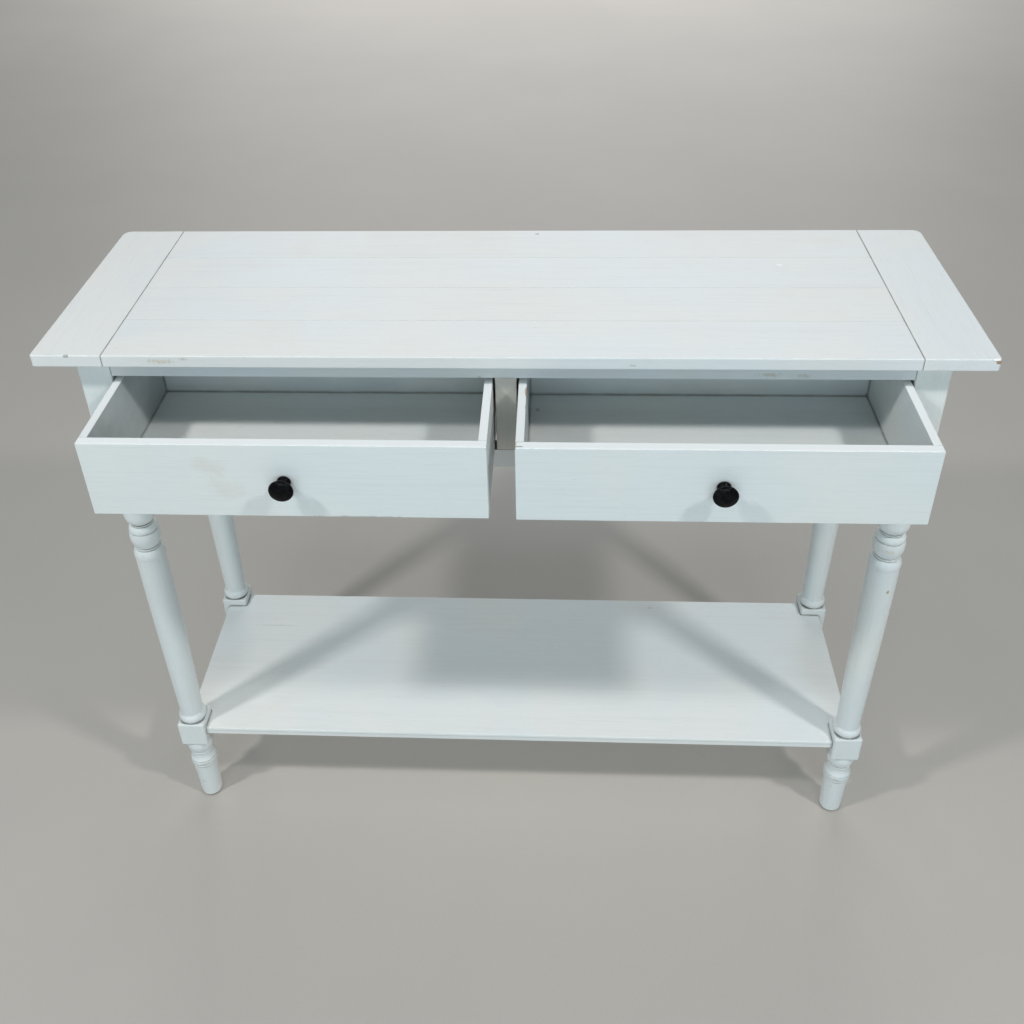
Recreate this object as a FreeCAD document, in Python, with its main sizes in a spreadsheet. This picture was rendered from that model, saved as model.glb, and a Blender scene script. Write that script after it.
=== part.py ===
import FreeCAD, Part
import math
import os
import re

import Sketcher
from FreeCAD import Placement, Rotation, Vector

# Console table: turned legs, two drawers pulled part way out, a low shelf.
# Axes: +X to the right, the front of the table faces -Y, +Z up.
# Origin: on the floor, at the centre of the whole object's box as it stands.

DOC = FreeCAD.newDocument("ConsoleTable")

DIMENSIONS = {
    # table top
    "table_width": 1080.0,
    "table_depth": 331.0,
    "table_height": 822.0,
    "front_edge_y": -100.0,
    "top_thickness": 15.5,
    "breadboard_width": 83.0,
    "field_boards": 4.0,
    "tongue_length": 8.0,
    "tongue_thickness": 5.0,
    "tongue_inset": 8.0,
    "joint_chamfer": 0.9,
    "plank_chamfer": 0.35,
    "top_ease": 1.6,
    "back_corner_radius": 12.0,
    "front_corner_radius": 4.0,
    # where the legs stand
    "side_overhang": 40.5,
    "front_overhang": 21.0,
    "rear_overhang": 9.0,
    "leg_square": 40.0,
    # rails, aprons and their joints
    "top_rail_height": 25.0,
    "opening_height": 101.5,
    "bottom_rail_height": 26.0,
    "rail_thickness": 20.0,
    "divider_width": 25.0,
    "apron_thickness": 15.0,
    "apron_inset": 2.0,
    "tenon_length": 12.0,
    "tenon_thickness": 8.0,
    "tenon_shoulder": 5.0,
    "edge_ease": 0.8,
    "cleat_size": 15.0,
    # drawers
    "drawer_width": 442.0,
    "drawer_height": 97.0,
    "drawer_length": 250.0,
    "drawer_lift": 0.5,
    "front_thickness": 12.0,
    "side_thickness": 9.5,
    "bottom_thickness": 3.5,
    "bottom_groove_depth": 4.0,
    "bottom_groove_height": 3.0,
    "bottom_clearance": 0.4,
    "left_pull": 128.5,
    "right_pull": 130.0,
    # drawer runners and the guides that hold them
    "guide_height": 40.0,
    "runner_height": 9.0,
    "runner_reach": 6.5,
    "runner_below_top": 46.0,
    "runner_setback": 27.5,
    "runner_end_gap": 5.0,
    "groove_clearance": 0.3,
    "groove_depth": 4.5,
    "groove_stop": 27.0,
    # shelf
    "shelf_top": 158.0,
    "shelf_thickness": 13.0,
    "shelf_side_setback": 10.5,
    "shelf_front_setback": 6.0,
    "shelf_rear_setback": 12.0,
    "shelf_notch_gap": 0.2,
    "shelf_ease": 2.0,
    "dowel_radius": 3.0,
    "dowel_length": 24.0,
    "dowel_clearance": 0.05,
    # fasteners and feet
    "screw_radius": 2.0,
    "screw_length": 25.0,
    "screw_head_radius": 4.0,
    "screw_head_height": 2.4,
    "screw_clearance": 0.1,
    "screw_end_distance": 30.0,
    "glide_radius": 13.5,
    "glide_thickness": 2.0,
    "knob_screw_reach": 9.0,
    # leg: blocks, and the turned details as radii and heights above the floor
    "upper_block_bottom": 637.0,
    "lower_block_top": 170.0,
    "lower_block_bottom": 125.5,
    "block_round": 3.0,
    "core_radius": 14.0,
    "block_cut_radius": 24.3,
    "block_cut_outer": 28.6,
    "block_cut_curve": 9.0,
    "lower_block_low_cut": 130.0,
    "lower_block_high_cut": 165.5,
    "upper_block_cut": 641.5,
    "foot_flat_radius": 14.4,
    "foot_toe_radius": 15.4,
    "foot_toe_height": 3.4,
    "foot_toe_curve": 1.4,
    "foot_top_radius": 17.8,
    "foot_top_height": 69.4,
    "foot_line_radius": 16.9,
    "foot_line_height": 70.2,
    "foot_ring_radius": 18.2,
    "foot_ring_low_height": 71.0,
    "foot_ring_high_height": 74.4,
    "foot_ring_curve": 2.6,
    "low_line_radius": 17.2,
    "low_line_height": 75.2,
    "band_radius": 18.9,
    "band_low_height": 76.0,
    "band_high_height": 82.5,
    "band_curve": 10.0,
    "band_line_radius": 17.6,
    "band_line_height": 83.4,
    "flare_radius": 18.8,
    "flare_height": 84.3,
    "ankle_radius": 15.8,
    "ankle_height": 98.8,
    "ankle_curve": 18.0,
    "ankle_ring_radius": 16.7,
    "ankle_ring_low_height": 99.7,
    "ankle_ring_high_height": 103.0,
    "ankle_ring_curve": 2.4,
    "ankle_line_radius": 15.8,
    "ankle_line_height": 104.0,
    "collar_low_radius": 17.4,
    "collar_low_height": 105.0,
    "collar_radius": 18.3,
    "collar_curve": 26.0,
    "ring_base_radius": 16.8,
    "ring_top_height": 184.0,
    "ring_curve": 9.4,
    "shaft_low_radius": 16.3,
    "shaft_low_height": 185.5,
    "shaft_high_radius": 20.0,
    "shaft_high_height": 491.0,
    "shaft_curve": 14500.0,
    "shoulder_radius": 17.0,
    "shoulder_height": 505.2,
    "shoulder_curve": 16.0,
    "shoulder_line_radius": 15.5,
    "shoulder_line_height": 506.0,
    "bead_radius": 16.4,
    "bead_low_height": 506.7,
    "bead_high_height": 508.6,
    "bead_line_radius": 15.2,
    "bead_line_height": 509.7,
    "ball_low_radius": 16.3,
    "ball_low_height": 510.6,
    "ball_radius": 19.0,
    "ball_line_low_height": 533.8,
    "ball_curve": 30.0,
    "ball_line_radius": 17.8,
    "ball_line_height": 534.7,
    "ball_cap_radius": 18.5,
    "ball_cap_height": 535.6,
    "ball_high_radius": 15.0,
    "ball_high_height": 544.4,
    "ball_cap_curve": 8.0,
    "neck_groove_radius": 13.3,
    "neck_groove_height": 545.1,
    "neck_radius": 14.6,
    "neck_low_height": 545.8,
    "neck_high_height": 547.2,
    "neck_line_radius": 13.2,
    "neck_line_height": 548.1,
    "cup_low_radius": 14.2,
    "cup_low_height": 549.0,
    "cup_radius": 20.2,
    "cup_height": 563.0,
    "cup_low_curve": 16.0,
    "cup_high_radius": 15.8,
    "cup_high_height": 616.0,
    "cup_high_curve": 320.0,
    "upper_ring_height": 622.0,
    "upper_ring_curve": 10.6,
    # knob, measured out from the drawer front
    "knob_projection": 22.0,
    "knob_base_radius": 7.5,
    "knob_base_thickness": 1.2,
    "knob_neck_radius": 4.8,
    "knob_neck_start": 5.0,
    "knob_base_curve": 5.0,
    "knob_bead_start": 6.0,
    "knob_bead_end": 9.0,
    "knob_bead_curve": 1.6,
    "knob_neck_end": 9.8,
    "knob_underside_radius": 12.4,
    "knob_underside_height": 14.4,
    "knob_underside_curve": 10.0,
    "knob_rim_radius": 13.75,
    "knob_rim_height": 16.4,
    "knob_rim_curve": 2.6,
    "knob_face_radius": 12.2,
    "knob_face_height": 19.0,
    "knob_face_curve": 3.2,
}

# Names that several places share, each worked out from the cells above.
DERIVED = {
    "half_width": "(table_width / 2)",
    "top_under": "(table_height - top_thickness)",
    "block_outer_x": "(table_width / 2 - side_overhang)",
    "block_inner_x": "(table_width / 2 - side_overhang - leg_square)",
    "leg_axis_x": "(table_width / 2 - side_overhang - leg_square / 2)",
    "block_front_y": "(front_edge_y + front_overhang)",
    "front_leg_y": "(front_edge_y + front_overhang + leg_square / 2)",
    "rear_leg_y": "(front_edge_y + table_depth - rear_overhang - leg_square / 2)",
    "rear_block_y": "(front_edge_y + table_depth - rear_overhang - leg_square)",
    "apron_rear_y": "(front_edge_y + table_depth - rear_overhang - apron_inset - apron_thickness)",
    "apron_side_x": "(table_width / 2 - side_overhang - apron_inset - apron_thickness)",
    "rail_under": "(table_height - top_thickness - top_rail_height)",
    "sill_top": "(table_height - top_thickness - top_rail_height - opening_height)",
    "sill_under": "(table_height - top_thickness - top_rail_height - opening_height"
                  " - bottom_rail_height)",
    "drawer_z": "(table_height - top_thickness - top_rail_height - opening_height + drawer_lift)",
    "opening_width": "(table_width / 2 - side_overhang - leg_square - divider_width / 2)",
    "span_between_blocks": "(table_depth - front_overhang - rear_overhang - 2 * leg_square)",
    "board_width": "(table_depth / field_boards)",
    "field_length": "(table_width - 2 * breadboard_width)",
}


def formula(text):
    """Turn words into references to the spreadsheet, working out the derived names first."""
    for _ in range(2):
        text = re.sub(r"[a-z_]+", lambda word: DERIVED.get(word.group(), word.group()), text)
    return re.sub(r"[a-z_]+", lambda word: "<<Dimensions>>." + word.group()
                  if word.group() in DIMENSIONS else word.group(), text)


def bind(thing, target, text):
    thing.setExpression(target, formula(text))


def write_dimensions():
    sheet = DOC.addObject("Spreadsheet::Sheet", "Dimensions")
    for row, (alias, value) in enumerate(DIMENSIONS.items(), start=1):
        sheet.set("A%d" % row, alias)
        sheet.set("B%d" % row, str(value))
        sheet.setAlias("B%d" % row, alias)
    DOC.recompute()


def new_body(name, corner, turn=None):
    """An empty body; corner gives the formulas of its local origin."""
    body = DOC.addObject("PartDesign::Body", name)
    body.Label = name
    body.Placement = Placement(Vector(), turn or Rotation())
    for axis, text in zip("xyz", corner):
        bind(body, "Placement.Base." + axis, text)
    return body


def plane_of(body, role):
    return next(item for item in body.Origin.OriginFeatures if item.Role == role)


def new_sketch(body, name, role):
    sketch = body.newObject("Sketcher::SketchObject", name)
    sketch.AttachmentSupport = [(plane_of(body, role), "")]
    sketch.MapMode = "FlatFace"
    return sketch


def add_board(body, size, start="0"):
    """A rectangle from the local origin, padded along Z; size is three formulas."""
    sketch = new_sketch(body, body.Name + "_outline", "XY_Plane")
    points = [Vector(0, 0), Vector(10, 0), Vector(10, 10), Vector(0, 10)]
    lines = [Part.LineSegment(points[i], points[(i + 1) % 4]) for i in range(4)]
    sketch.addGeometry(lines, False)
    for i in range(4):
        sketch.addConstraint(Sketcher.Constraint("Coincident", i, 2, (i + 1) % 4, 1))
    for i, direction in enumerate(("Horizontal", "Vertical", "Horizontal", "Vertical")):
        sketch.addConstraint(Sketcher.Constraint(direction, i))
    sketch.addConstraint(Sketcher.Constraint("Coincident", 0, 1, -1, 1))
    width = sketch.addConstraint(Sketcher.Constraint("DistanceX", 0, 1, 0, 2, 10))
    depth = sketch.addConstraint(Sketcher.Constraint("DistanceY", 1, 1, 1, 2, 10))
    bind(sketch, "Constraints[%d]" % width, size[0])
    bind(sketch, "Constraints[%d]" % depth, size[1])
    bind(sketch, "AttachmentOffset.Base.z", start)
    pad = body.newObject("PartDesign::Pad", body.Name + "_board")
    pad.Profile = sketch
    bind(pad, "Length", size[2])
    body.Tip = pad
    return pad


def add_primitive(body, kind, name, corner, sizes, turn=None):
    """A box or cylinder added to or cut from the body, placed by formulas."""
    item = body.newObject("PartDesign::" + kind, name)
    item.Placement = Placement(Vector(), turn or Rotation())
    for axis, text in zip("xyz", corner):
        bind(item, "Placement.Base." + axis, text)
    for key, text in sizes.items():
        bind(item, key, text)
    body.Tip = item
    return item


def box_sizes(length, width, height):
    return {"Length": length, "Width": width, "Height": height}


def cut_box(body, name, corner, size):
    return add_primitive(body, "SubtractiveBox", name, corner, box_sizes(*size))


def glue_box(body, name, corner, size):
    return add_primitive(body, "AdditiveBox", name, corner, box_sizes(*size))


def drill(body, name, start, radius, depth, turn=None):
    return add_primitive(body, "SubtractiveCylinder", name, start,
                         {"Radius": radius, "Height": depth}, turn)


ALONG_X = Rotation(Vector(0, 1, 0), 90)
ALONG_Y = Rotation(Vector(1, 0, 0), -90)
HALF_TURN = Rotation(Vector(0, 0, 1), 180)


def edge_names(feature, wanted):
    """Names of the straight edges whose box passes the test."""
    names = []
    for index, edge in enumerate(feature.Shape.Edges, start=1):
        if edge.Degenerated:
            continue
        if isinstance(edge.Curve, Part.Line) and wanted(edge.BoundBox):
            names.append("Edge%d" % index)
    return names


def dress(body, kind, base, names, size_name, size):
    """A fillet or chamfer on named edges of the base feature."""
    item = body.newObject("PartDesign::" + kind, base.Name + "_" + kind.lower() + "_" + size_name)
    item.Base = (base, names)
    bind(item, "Radius" if kind == "Fillet" else "Size", size)
    body.Tip = item
    DOC.recompute()
    return item


def ease_all(body, base, size="edge_ease"):
    DOC.recompute()
    return dress(body, "Fillet", base, edge_names(base, lambda box: True), "all", size)


def near(a, b):
    return abs(a - b) < 1e-4


def value(name):
    return DIMENSIONS[name]


# ---- turned profiles -------------------------------------------------------------------------

def arc_between(start, end, centre):
    """The shorter arc from start to end about that centre."""
    first, last = start - centre, end - centre
    if first.cross(last).z < 0:
        first, last = last, first
    angles = [math.atan2(spoke.y, spoke.x) % math.tau for spoke in (first, last)]
    if angles[1] < angles[0]:
        angles[1] += math.tau
    circle = Part.Circle(centre, Vector(0, 0, 1), first.Length)
    return Part.ArcOfCircle(circle, *angles)


def arc_centre(start, end, radius, outward):
    """Centre of an arc that bulges away from the axis or towards it.

    With no radius the arc is a dome's, and its centre lies on the axis.
    """
    chord = end - start
    if radius is None:
        drop = (start.x ** 2 - chord.y ** 2) / (2 * chord.y)
        return Vector(0, start.y - drop)
    normal = Vector(chord.y, -chord.x)
    if (normal.x > 0) != outward:
        normal = normal * -1
    normal.normalize()
    return (start + end) * 0.5 - normal * (radius ** 2 - (chord.Length / 2) ** 2) ** 0.5


def turn_profile(body, name, role, outline, kind="Revolution"):
    """Revolve an outline about the sketch's vertical axis, as a solid or as a Groove.

    Each step is (radius name or None on the axis, height name or None at zero, curve),
    where curve is None for a straight line, or (radius name or None, bulges outward).
    """
    sketch = new_sketch(body, name + "_profile", role)
    points = [Vector(value(r) if r else 0.0, value(h) if h else 0.0) for r, h, _ in outline]
    count = len(outline)
    ends = []
    for i in range(count):
        start, end = points[i], points[(i + 1) % count]
        curve = outline[(i + 1) % count][2]
        if curve:
            radius = value(curve[0]) if curve[0] else None
            piece = arc_between(start, end, arc_centre(start, end, radius, curve[1]))
        else:
            piece = Part.LineSegment(start, end)
        sketch.addGeometry(piece, False)
        ends.append((1, 2) if near((piece.StartPoint - start).Length, 0.0) else (2, 1))
        if curve and curve[0]:
            at = sketch.addConstraint(Sketcher.Constraint("Radius", i, radius))
            bind(sketch, "Constraints[%d]" % at, curve[0])
        elif curve:
            sketch.addConstraint(Sketcher.Constraint("PointOnObject", i, 3, -2))
    for i in range(count):
        following = (i + 1) % count
        sketch.addConstraint(Sketcher.Constraint("Coincident", i, ends[i][1],
                                                 following, ends[following][0]))
    for i, (radius, height, _) in enumerate(outline):
        if radius:
            at = sketch.addConstraint(
                Sketcher.Constraint("DistanceX", -1, 1, i, ends[i][0], value(radius)))
            bind(sketch, "Constraints[%d]" % at, radius)
        else:
            sketch.addConstraint(Sketcher.Constraint("PointOnObject", i, ends[i][0], -2))
        if height:
            at = sketch.addConstraint(
                Sketcher.Constraint("DistanceY", -1, 1, i, ends[i][0], value(height)))
            bind(sketch, "Constraints[%d]" % at, height)
        else:
            sketch.addConstraint(Sketcher.Constraint("PointOnObject", i, ends[i][0], -1))
    turned = body.newObject("PartDesign::" + kind, name)
    turned.Profile = sketch
    turned.ReferenceAxis = (sketch, ["V_Axis"])
    turned.Angle = 360
    body.Tip = turned
    return turned


LEG_OUTLINE = [
    (None, "glide_thickness", None),
    ("foot_flat_radius", "glide_thickness", None),
    ("foot_toe_radius", "foot_toe_height", ("foot_toe_curve", True)),
    ("foot_top_radius", "foot_top_height", None),
    ("foot_line_radius", "foot_line_height", None),
    ("foot_ring_radius", "foot_ring_low_height", None),
    ("foot_ring_radius", "foot_ring_high_height", ("foot_ring_curve", True)),
    ("low_line_radius", "low_line_height", None),
    ("band_radius", "band_low_height", None),
    ("band_radius", "band_high_height", ("band_curve", True)),
    ("band_line_radius", "band_line_height", None),
    ("flare_radius", "flare_height", None),
    ("ankle_radius", "ankle_height", ("ankle_curve", False)),
    ("ankle_ring_radius", "ankle_ring_low_height", None),
    ("ankle_ring_radius", "ankle_ring_high_height", ("ankle_ring_curve", True)),
    ("ankle_line_radius", "ankle_line_height", None),
    ("collar_low_radius", "collar_low_height", None),
    ("collar_radius", "lower_block_bottom", ("collar_curve", True)),
    ("core_radius", "lower_block_bottom", None),
    ("core_radius", "lower_block_top", None),
    ("ring_base_radius", "lower_block_top", None),
    ("ring_base_radius", "ring_top_height", ("ring_curve", True)),
    ("shaft_low_radius", "shaft_low_height", None),
    ("shaft_high_radius", "shaft_high_height", ("shaft_curve", True)),
    ("shoulder_radius", "shoulder_height", ("shoulder_curve", True)),
    ("shoulder_line_radius", "shoulder_line_height", None),
    ("bead_radius", "bead_low_height", None),
    ("bead_radius", "bead_high_height", None),
    ("bead_line_radius", "bead_line_height", None),
    ("ball_low_radius", "ball_low_height", None),
    ("ball_radius", "ball_line_low_height", ("ball_curve", True)),
    ("ball_line_radius", "ball_line_height", None),
    ("ball_cap_radius", "ball_cap_height", None),
    ("ball_high_radius", "ball_high_height", ("ball_cap_curve", True)),
    ("neck_groove_radius", "neck_groove_height", None),
    ("neck_radius", "neck_low_height", None),
    ("neck_radius", "neck_high_height", None),
    ("neck_line_radius", "neck_line_height", None),
    ("cup_low_radius", "cup_low_height", None),
    ("cup_radius", "cup_height", ("cup_low_curve", True)),
    ("cup_high_radius", "cup_high_height", ("cup_high_curve", True)),
    ("ring_base_radius", "upper_ring_height", None),
    ("ring_base_radius", "upper_block_bottom", ("upper_ring_curve", True)),
    (None, "upper_block_bottom", None),
]

# Where the lathe has turned the corners off the end of a block: (block end, end of the cut).
BLOCK_CUTS = {
    "lower_block_low": ("lower_block_bottom", "lower_block_low_cut"),
    "lower_block_high": ("lower_block_top", "lower_block_high_cut"),
    "upper_block_low": ("upper_block_bottom", "upper_block_cut"),
}

KNOB_OUTLINE = [
    (None, None, None),
    ("knob_base_radius", None, None),
    ("knob_base_radius", "knob_base_thickness", None),
    ("knob_neck_radius", "knob_neck_start", ("knob_base_curve", False)),
    ("knob_neck_radius", "knob_bead_start", None),
    ("knob_neck_radius", "knob_bead_end", ("knob_bead_curve", True)),
    ("knob_neck_radius", "knob_neck_end", None),
    ("knob_underside_radius", "knob_underside_height", ("knob_underside_curve", False)),
    ("knob_rim_radius", "knob_rim_height", ("knob_rim_curve", True)),
    ("knob_face_radius", "knob_face_height", ("knob_face_curve", True)),
    (None, "knob_projection", (None, True)),
]


# ---- the table top ---------------------------------------------------------------------------

# Screws along a cleat, measured from its front end.
CLEAT_SCREWS = ("screw_end_distance", "span_between_blocks / 2",
                "(span_between_blocks - screw_end_distance)")


def make_top_board(number):
    """One lengthwise board of the field, with a tongue at each end; 1 is at the front."""
    body = new_body("top_board_%d" % number,
                    ("-half_width + breadboard_width",
                     "front_edge_y + board_width * %d" % (number - 1), "top_under"))
    pad = add_board(body, ("field_length", "board_width", "top_thickness"))
    DOC.recompute()
    top, width = value("top_thickness"), value("table_depth") / value("field_boards")
    outer = {1: 0.0, int(value("field_boards")): width}.get(number)
    joints = edge_names(pad, lambda box: near(box.ZMin, top) and near(box.YMin, box.YMax)
                        and not (outer is not None and near(box.YMin, outer)))
    base = dress(body, "Chamfer", pad, joints, "plank", "plank_chamfer")
    ends = edge_names(base, lambda box: near(box.ZMin, top) and near(box.XMin, box.XMax))
    base = dress(body, "Chamfer", base, ends, "joint", "joint_chamfer")
    if outer is not None:
        rims = edge_names(base, lambda box: near(box.YMin, outer) and near(box.YMax, outer)
                          and box.XLength > width)
        base = dress(body, "Fillet", base, rims, "rim", "top_ease")
    for side, start in (("left", "-tongue_length"), ("right", "field_length")):
        glue_box(body, body.Name + "_tongue_" + side,
                 (start, "tongue_inset", "(top_thickness - tongue_thickness) / 2"),
                 ("tongue_length", "board_width - 2 * tongue_inset", "tongue_thickness"))
    return body


def make_breadboard(side):
    """A board across the end of the field; its inner edge is grooved for the tongues."""
    left = side == "left"
    body = new_body("breadboard_" + side,
                    ("-half_width" if left else "half_width - breadboard_width",
                     "front_edge_y", "top_under"))
    pad = add_board(body, ("breadboard_width", "table_depth", "top_thickness"))
    DOC.recompute()
    outer = 0.0 if left else value("breadboard_width")
    depth, top = value("table_depth"), value("top_thickness")

    def upright(y):
        return lambda box: near(box.YMin, y) and near(box.XMin, outer) and near(box.XMax, outer)

    base = dress(body, "Fillet", pad,
                 [name for name in edge_names(pad, upright(depth))
                  if pad.Shape.getElement(name).BoundBox.ZLength > top / 2],
                 "back", "back_corner_radius")
    base = dress(body, "Fillet", base,
                 [name for name in edge_names(base, upright(0.0))
                  if base.Shape.getElement(name).BoundBox.ZLength > top / 2],
                 "front", "front_corner_radius")
    rims = edge_names(base, lambda box: near(box.ZMin, box.ZMax)
                      and (near(box.XMin, outer) and near(box.XMax, outer)))
    base = dress(body, "Fillet", base, rims, "rim", "top_ease")
    inner = value("breadboard_width") - outer
    joint = edge_names(base, lambda box: near(box.ZMin, top) and near(box.XMin, inner)
                       and near(box.XMax, inner))
    dress(body, "Chamfer", base, joint, "joint", "joint_chamfer")
    for number in range(int(value("field_boards"))):
        cut_box(body, "%s_groove_%d" % (body.Name, number + 1),
                ("breadboard_width - tongue_length" if left else "0",
                 "tongue_inset + board_width * %d" % number,
                 "(top_thickness - tongue_thickness) / 2"),
                ("tongue_length", "board_width - 2 * tongue_inset", "tongue_thickness"))
    centre = "apron_side_x - cleat_size / 2 - (half_width - breadboard_width)"
    across = "breadboard_width - (%s)" % centre if left else centre
    for number, along in enumerate(CLEAT_SCREWS, start=1):
        drill(body, "%s_screw_hole_%d" % (body.Name, number),
              (across, "front_overhang + leg_square + " + along, "0"),
              "screw_radius", "screw_length - cleat_size")
    return body


def make_cleat(side):
    """A strip inside the side apron; screws pass up through it into the breadboard."""
    left = side == "left"
    body = new_body("top_cleat_" + side,
                    ("-apron_side_x" if left else "apron_side_x - cleat_size",
                     "block_front_y + leg_square", "top_under - cleat_size"))
    base = add_board(body, ("cleat_size", "span_between_blocks", "cleat_size"))
    ease_all(body, base)
    for number, along in enumerate(CLEAT_SCREWS, start=1):
        drill(body, "%s_hole_%d" % (body.Name, number), ("cleat_size / 2", along, "0"),
              "screw_radius", "cleat_size")
    return body


def make_cylinder(name, corner, radius, height, turn=None):
    item = DOC.addObject("Part::Cylinder", name)
    item.Placement = Placement(Vector(), turn or Rotation())
    for axis, text in zip("xyz", corner):
        bind(item, "Placement.Base." + axis, text)
    bind(item, "Radius", radius)
    bind(item, "Height", height)
    return item


def make_group(name, items):
    group = DOC.addObject("Part::Compound", name)
    group.Label = name
    group.Links = items
    return group


def make_screw(name, x, y, z):
    """A round-headed screw, head down, its shank starting at z."""
    shank = make_cylinder(name + "_shank", (x, y, z + " - screw_head_height"),
                          "screw_radius", "screw_length + screw_head_height")
    head = make_cylinder(name + "_head", (x, y, z + " - screw_head_height"),
                         "screw_head_radius", "screw_head_height")
    screw = DOC.addObject("Part::MultiFuse", name)
    screw.Shapes = [shank, head]
    return screw


def make_top_screws():
    screws = []
    for side, sign in (("left", "-"), ("right", "")):
        for number, along in enumerate(CLEAT_SCREWS, start=1):
            screws.append(make_screw("top_screw_%s_%d" % (side, number),
                                     sign + "(apron_side_x - cleat_size / 2)",
                                     "block_front_y + leg_square + " + along,
                                     "top_under - cleat_size"))
    return make_group("top_screws", screws)


# ---- legs ------------------------------------------------------------------------------------

FRONT_RAILS = (
    ("top_rail", "rail_under", "top_rail_height"),
    ("bottom_rail", "sill_under", "bottom_rail_height"),
)

LEG_PLACES = {
    "front_left": ("-leg_axis_x", "front_leg_y"),
    "front_right": ("leg_axis_x", "front_leg_y"),
    "rear_left": ("-leg_axis_x", "rear_leg_y"),
    "rear_right": ("leg_axis_x", "rear_leg_y"),
}


def add_block(body, name, low, high):
    """A square block round the turning, with all its long edges rounded over."""
    block = glue_box(body, name, ("-leg_square / 2", "-leg_square / 2", low),
                     ("leg_square", "leg_square", "%s - %s" % (high, low)))
    DOC.recompute()
    half = value("leg_square") / 2
    floor = block.Placement.Base.z - 1e-4
    roof = floor + block.Height.Value + 2e-4
    rims = edge_names(block, lambda box: box.DiagonalLength > half
                      and (near(abs(box.Center.x), half) or near(abs(box.Center.y), half))
                      and floor < box.ZMin and box.ZMax < roof)
    return dress(body, "Fillet", block, rims, name, "block_round")


def make_leg(place):
    """A turned leg with an upper block for the rails and a lower one for the shelf."""
    x, y = LEG_PLACES[place]
    body = new_body("leg_" + place, (x, y, "0"))
    turn_profile(body, body.Name + "_turning", "XZ_Plane", LEG_OUTLINE)
    add_block(body, body.Name + "_lower_block", "lower_block_bottom", "lower_block_top")
    add_block(body, body.Name + "_upper_block", "upper_block_bottom", "top_under")
    for cut, (end, reach) in BLOCK_CUTS.items():
        turn_profile(body, "%s_%s_cut" % (body.Name, cut), "XZ_Plane",
                     [("block_cut_radius", end, ("block_cut_curve", True)),
                      ("block_cut_outer", end, None),
                      ("block_cut_outer", reach, None)], "Groove")
    inward_x = -1 if "right" in place else 1
    inward_y = -1 if "rear" in place else 1
    # side apron mortise, in the face towards the other leg of the same side
    apron_x = ("-leg_square / 2 + apron_inset + (apron_thickness - tenon_thickness) / 2"
               if inward_x > 0 else
               "leg_square / 2 - apron_inset - (apron_thickness + tenon_thickness) / 2")
    face_y = "leg_square / 2 - tenon_length" if inward_y > 0 else "-leg_square / 2"
    cut_box(body, body.Name + "_side_mortise", (apron_x, face_y, "sill_under + tenon_shoulder"),
            ("tenon_thickness", "tenon_length", "top_under - sill_under - 2 * tenon_shoulder"))
    face_x = "leg_square / 2 - tenon_length" if inward_x > 0 else "-leg_square / 2"
    if inward_y > 0:
        rail_y = "-leg_square / 2 + (rail_thickness - tenon_thickness) / 2"
        for rail, low, height in FRONT_RAILS:
            cut_box(body, "%s_%s_mortise" % (body.Name, rail),
                    (face_x, rail_y, low + " + tenon_shoulder"),
                    ("tenon_length", "tenon_thickness", height + " - 2 * tenon_shoulder"))
    else:
        rail_y = "leg_square / 2 - apron_inset - (apron_thickness + tenon_thickness) / 2"
        cut_box(body, body.Name + "_rear_mortise",
                (face_x, rail_y, "sill_under + tenon_shoulder"),
                ("tenon_length", "tenon_thickness",
                 "top_under - sill_under - 2 * tenon_shoulder"))
    drill(body, body.Name + "_shelf_dowel_hole",
          ("leg_square / 2 - dowel_length / 2" if inward_x > 0 else "-leg_square / 2", "0",
           "shelf_top - shelf_thickness / 2"),
          "dowel_radius + dowel_clearance", "dowel_length / 2", ALONG_X)
    return body


def make_glides():
    glides = []
    for place, (x, y) in LEG_PLACES.items():
        disc = make_cylinder("glide_disc_" + place, (x, y, "0"),
                             "glide_radius", "glide_thickness")
        DOC.recompute()
        eased = DOC.addObject("Part::Chamfer", "glide_" + place)
        eased.Base = disc
        rim = value("glide_thickness") / 4
        eased.Edges = [(index, rim, rim) for index, edge in enumerate(disc.Shape.Edges, 1)
                       if isinstance(edge.Curve, Part.Circle) and edge.BoundBox.ZMax < rim]
        glides.append(eased)
    return make_group("leg_glides", glides)


# ---- rails, aprons, divider ------------------------------------------------------------------

def add_tenons(body, length, thickness, height):
    """A tenon at each end of a board that runs along local X."""
    for end, start in (("left", "-tenon_length"), ("right", length)):
        glue_box(body, "%s_tenon_%s" % (body.Name, end),
                 (start, "(%s - tenon_thickness) / 2" % thickness, "tenon_shoulder"),
                 ("tenon_length", "tenon_thickness", height + " - 2 * tenon_shoulder"))


def make_front_rail(rail, low, height):
    body = new_body("front_" + rail, ("-block_inner_x", "block_front_y", low))
    base = add_board(body, ("2 * block_inner_x", "rail_thickness", height))
    ease_all(body, base)
    add_tenons(body, "2 * block_inner_x", "rail_thickness", height)
    socket = height + " - tenon_shoulder" if rail == "bottom_rail" else "0"
    cut_box(body, body.Name + "_divider_socket",
            ("block_inner_x - divider_width / 2 + tenon_shoulder",
             "(rail_thickness - tenon_thickness) / 2", socket),
            ("divider_width - 2 * tenon_shoulder", "tenon_thickness", "tenon_shoulder"))
    return body


def make_divider():
    body = new_body("centre_divider", ("-divider_width / 2", "block_front_y", "sill_top"))
    base = add_board(body, ("divider_width", "rail_thickness", "opening_height"))
    ease_all(body, base)
    for end, start in (("low", "-tenon_shoulder"), ("high", "opening_height")):
        glue_box(body, "centre_divider_tenon_" + end,
                 ("tenon_shoulder", "(rail_thickness - tenon_thickness) / 2", start),
                 ("divider_width - 2 * tenon_shoulder", "tenon_thickness", "tenon_shoulder"))
    return body


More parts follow.
